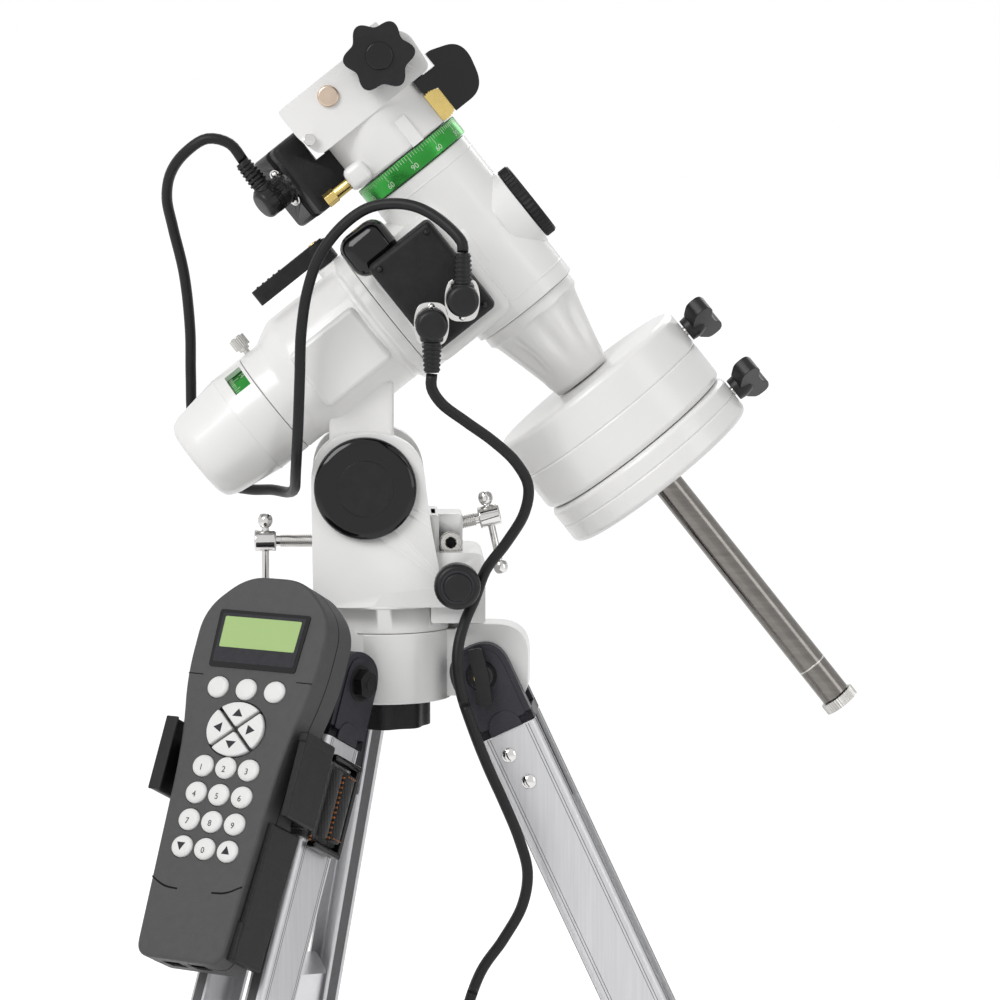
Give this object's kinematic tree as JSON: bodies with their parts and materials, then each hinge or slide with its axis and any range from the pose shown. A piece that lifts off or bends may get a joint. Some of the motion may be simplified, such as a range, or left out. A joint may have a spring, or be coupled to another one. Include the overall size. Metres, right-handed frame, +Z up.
{
  "type": "equatorial telescope mount on tripod",
  "caption": "German equatorial telescope mount with motor drives, counterweights on a shaft, dovetail saddle and a hand controller strapped to an aluminium tripod.",
  "frame": {"origin": "middle of the box round the three feet, on the floor they stand on", "axes": "+Z up; +X along the meridian towards the raised end of the polar axis; -Y the side of the motor drives' connectors"},
  "size_m": [0.628, 0.6991, 1.0866],
  "materials": {
    "white_paint": "smooth warm white enamel on castings",
    "black_gloss": "polished black moulding",
    "black_matte": "finely textured black moulding",
    "grey_plastic": "blue-grey reinforced moulding",
    "handset_grey": "mid-grey moulding with a fine texture",
    "key_white": "off-white silicone keys with plain printed digits",
    "green_metal": "green anodised ring with engraved graduations",
    "aluminium": "satin extruded aluminium",
    "chrome": "bright plated steel",
    "brass": "turned brass",
    "rubber": "black flexible cable sheath",
    "webbing": "black woven webbing with orange thread ends"
  },
  "bodies": {
    "tripod": {"tripod_head": "white_paint", "polar_cable": "rubber", "cable_coil": "rubber", "cable_plug": "black_matte"},
    "centre_knob": {"centre_knob": "black_matte"},
    "right_leg": {"right_leg_bracket": "grey_plastic", "right_leg_rail_a": "aluminium", "right_leg_rail_b": "aluminium", "right_leg_hinge_bolt": "black_matte", "right_leg_clamp": "grey_plastic"},
    "right_inner_leg": {"right_inner_leg": "aluminium"},
    "right_lock_knob": {"right_leg_lock_knob": "black_matte"},
    "front_leg": {"front_leg_bracket": "grey_plastic", "front_leg_rail_a": "aluminium", "front_leg_rail_b": "aluminium", "front_leg_hinge_bolt": "black_matte", "front_leg_clamp": "grey_plastic", "handset_cradle": "black_matte", "cradle_strap": "webbing"},
    "front_inner_leg": {"front_inner_leg": "aluminium"},
    "front_lock_knob": {"front_leg_lock_knob": "black_matte"},
    "back_leg": {"back_leg_bracket": "grey_plastic", "back_leg_rail_a": "aluminium", "back_leg_rail_b": "aluminium", "back_leg_hinge_bolt": "black_matte", "back_leg_clamp": "grey_plastic"},
    "back_inner_leg": {"back_inner_leg": "aluminium"},
    "back_lock_knob": {"back_leg_lock_knob": "black_matte"},
    "azimuth": {"azimuth_base": "white_paint", "pivot_cover_front": "black_gloss", "pivot_cover_back": "black_gloss"},
    "azimuth_knob_near": {"azimuth_knob_near": "black_matte"},
    "azimuth_knob_far": {"azimuth_knob_far": "black_matte"},
    "altitude": {"polar_housing": "white_paint"},
    "altitude_bolt_rear": {"altitude_bolt_rear": "chrome"},
    "altitude_bolt_front": {"altitude_bolt_front": "chrome"},
    "polar_cover": {"polar_cover": "white_paint"},
    "polar_setting_circle": {"polar_setting_circle": "green_metal"},
    "polar_clutch_lever": {"polar_clutch_lever": "black_matte"},
    "circle_lock_screw": {"circle_lock_screw": "chrome"},
    "right_ascension": {"turning_housing": "white_paint", "polar_motor_drive": "black_matte", "shaft_nut": "white_paint", "counterweight_shaft": "chrome", "declination_cable": "rubber"},
    "front_cap": {"front_cap": "black_matte"},
    "declination_circle": {"declination_circle": "green_metal"},
    "large_weight": {"large_weight": "white_paint"},
    "small_weight": {"small_weight": "white_paint"},
    "large_weight_knob": {"large_weight_knob": "black_matte"},
    "small_weight_knob": {"small_weight_knob": "black_matte"},
    "toe_saver": {"toe_saver": "chrome"},
    "declination": {"declination_head": "white_paint", "declination_motor_drive": "black_matte", "declination_gear_cover": "black_gloss"},
    "saddle_knob": {"saddle_knob": "black_matte"},
    "declination_clutch_screw": {"declination_clutch_screw": "brass"},
    "handset": {"handset_case": "handset_grey"},
    "keypad": {"keypad": "key_white"}
  },
  "joints": [
    {"name": "centre_knob_turn", "type": "hinge", "parent": "tripod", "child": "centre_knob", "pos_m": [-0.08091, -0.02308, 0.68], "axis": [0, 0, 1], "continuous": true},
    {"name": "right_leg_fold", "type": "hinge", "parent": "tripod", "child": "right_leg", "pos_m": [-0.02114, -0.02831, 0.704], "axis": [0.0872, 0.9962, 0], "range_deg": [0, 22]},
    {"name": "right_leg_slide", "type": "slide", "parent": "right_leg", "child": "right_inner_leg", "axis": [0.421, -0.0368, -0.9063], "range_m": [-0.13, 0.2]},
    {"name": "right_lock_turn", "type": "hinge", "parent": "right_leg", "child": "right_lock_knob", "pos_m": [0.23738, -0.05092, 0.21374], "axis": [0.9029, -0.079, 0.4226], "continuous": true},
    {"name": "front_leg_fold", "type": "hinge", "parent": "tripod", "child": "front_leg", "pos_m": [-0.11532, -0.07223, 0.704], "axis": [0.8192, -0.5736, 0], "range_deg": [0, 22]},
    {"name": "front_leg_slide", "type": "slide", "parent": "front_leg", "child": "front_inner_leg", "axis": [-0.2424, -0.3462, -0.9063], "range_m": [-0.13, 0.2]},
    {"name": "front_lock_turn", "type": "hinge", "parent": "front_leg", "child": "front_lock_knob", "pos_m": [-0.26417, -0.2848, 0.21374], "axis": [-0.5198, -0.7424, 0.4226], "continuous": true},
    {"name": "back_leg_fold", "type": "hinge", "parent": "tripod", "child": "back_leg", "pos_m": [-0.10143, 0.0333, 0.704], "axis": [-0.9397, -0.342, 0], "range_deg": [0, 22]},
    {"name": "back_leg_slide", "type": "slide", "parent": "back_leg", "child": "back_inner_leg", "axis": [-0.1445, 0.3971, -0.9063], "range_m": [-0.13, 0.2]},
    {"name": "back_lock_turn", "type": "hinge", "parent": "back_leg", "child": "back_lock_knob", "pos_m": [-0.19019, 0.27716, 0.21374], "axis": [-0.31, 0.8517, 0.4226], "continuous": true},
    {"name": "azimuth_turn", "type": "hinge", "parent": "tripod", "child": "azimuth", "pos_m": [-0.08091, -0.02308, 0.743], "axis": [0, 0, 1], "range_deg": [-7, 7], "deforming": ["polar_cable"]},
    {"name": "azimuth_knob_near_travel", "type": "slide", "parent": "azimuth", "child": "azimuth_knob_near", "axis": [0, 1, 0], "range_m": [-0.0055, 0.0055]},
    {"name": "azimuth_knob_far_travel", "type": "slide", "parent": "azimuth", "child": "azimuth_knob_far", "axis": [0, 1, 0], "range_m": [-0.0055, 0.0055]},
    {"name": "altitude_tilt", "type": "hinge", "parent": "azimuth", "child": "altitude", "pos_m": [-0.09131, -0.02308, 0.816], "axis": [0, -1, 0], "range_deg": [-8.5, 4.5]},
    {"name": "altitude_bolt_rear_travel", "type": "slide", "parent": "azimuth", "child": "altitude_bolt_rear", "axis": [1, 0, 0], "range_m": [-0.006, 0.006]},
    {"name": "altitude_bolt_front_travel", "type": "slide", "parent": "azimuth", "child": "altitude_bolt_front", "axis": [0.9763, 0, 0.2164], "range_m": [-0.006, 0.006]},
    {"name": "polar_cover_pull", "type": "slide", "parent": "altitude", "child": "polar_cover", "axis": [-0.7826, 0, -0.6225], "range_m": [0, 0.06]},
    {"name": "polar_circle_turn", "type": "hinge", "parent": "altitude", "child": "polar_setting_circle", "pos_m": [-0.15025, -0.02308, 0.85892], "axis": [0.7826, 0, 0.6225], "continuous": true},
    {"name": "polar_clutch_swing", "type": "hinge", "parent": "altitude", "child": "polar_clutch_lever", "pos_m": [-0.11642, -0.02308, 0.94972], "axis": [0.6225, 0, -0.7826], "range_deg": [-30, 30]},
    {"name": "circle_lock_turn", "type": "hinge", "parent": "altitude", "child": "circle_lock_screw", "pos_m": [-0.16497, -0.02308, 0.89832], "axis": [0.6225, 0, -0.7826], "continuous": true},
    {"name": "right_ascension_turn", "type": "hinge", "parent": "altitude", "child": "right_ascension", "pos_m": [-0.02581, -0.02308, 0.9579], "axis": [0.7826, 0, 0.6225], "range_deg": [-90, 90]},
    {"name": "front_cap_pull", "type": "slide", "parent": "right_ascension", "child": "front_cap", "axis": [0.7826, 0, 0.6225], "range_m": [0, 0.03]},
    {"name": "declination_circle_turn", "type": "hinge", "parent": "right_ascension", "child": "declination_circle", "pos_m": [-0.06316, -0.02308, 1.00486], "axis": [0.6225, 0, -0.7826], "continuous": true},
    {"name": "large_weight_slide", "type": "slide", "parent": "right_ascension", "child": "large_weight", "axis": [0.6225, 0, -0.7826], "range_m": [0, 0.165]},
    {"name": "small_weight_slide", "type": "slide", "parent": "right_ascension", "child": "small_weight", "axis": [0.6225, 0, -0.7826], "range_m": [0, 0.165]},
    {"name": "large_weight_knob_turn", "type": "hinge", "parent": "large_weight", "child": "large_weight_knob", "pos_m": [0.10775, -0.02308, 0.91208], "axis": [0.7826, 0, 0.6225], "continuous": true},
    {"name": "small_weight_knob_turn", "type": "hinge", "parent": "small_weight", "child": "small_weight_knob", "pos_m": [0.13595, -0.02308, 0.87663], "axis": [0.7826, 0, 0.6225], "continuous": true},
    {"name": "toe_saver_turn", "type": "hinge", "parent": "right_ascension", "child": "toe_saver", "pos_m": [0.19145, -0.02308, 0.68477], "axis": [0.6225, 0, -0.7826], "continuous": true},
    {"name": "declination_turn", "type": "hinge", "parent": "right_ascension", "child": "declination", "pos_m": [-0.08184, -0.02308, 1.02833], "axis": [0.6225, 0, -0.7826], "continuous": true, "deforming": ["declination_cable"]},
    {"name": "saddle_knob_turn", "type": "hinge", "parent": "declination", "child": "saddle_knob", "pos_m": [-0.08262, -0.07708, 1.06707], "axis": [0, 1, 0], "continuous": true},
    {"name": "declination_clutch_turn", "type": "hinge", "parent": "declination", "child": "declination_clutch_screw", "pos_m": [-0.10709, -0.05608, 0.9878], "axis": [0.7826, 0, 0.6225], "continuous": true},
    {"name": "handset_lift", "type": "slide", "parent": "front_leg", "child": "handset", "axis": [0.2424, 0.3462, 0.9063], "range_m": [0, 0.045]},
    {"name": "keypad_press", "type": "slide", "parent": "handset", "child": "keypad", "axis": [0.5198, 0.7424, -0.4226], "range_m": [0, 0.0012], "stiffness_N_per_m": 900}
  ],
  "couplings": [
    {"joint": "azimuth_knob_near_travel", "follows": "azimuth_turn", "m_per_rad": -0.043},
    {"joint": "azimuth_knob_far_travel", "follows": "azimuth_turn", "m_per_rad": -0.043},
    {"joint": "altitude_bolt_rear_travel", "follows": "altitude_tilt", "m_per_rad": 0.035},
    {"joint": "altitude_bolt_front_travel", "follows": "altitude_tilt", "m_per_rad": 0.0345},
    {"joint": "small_weight_slide", "follows": "large_weight_slide", "ratio": 1}
  ]
}
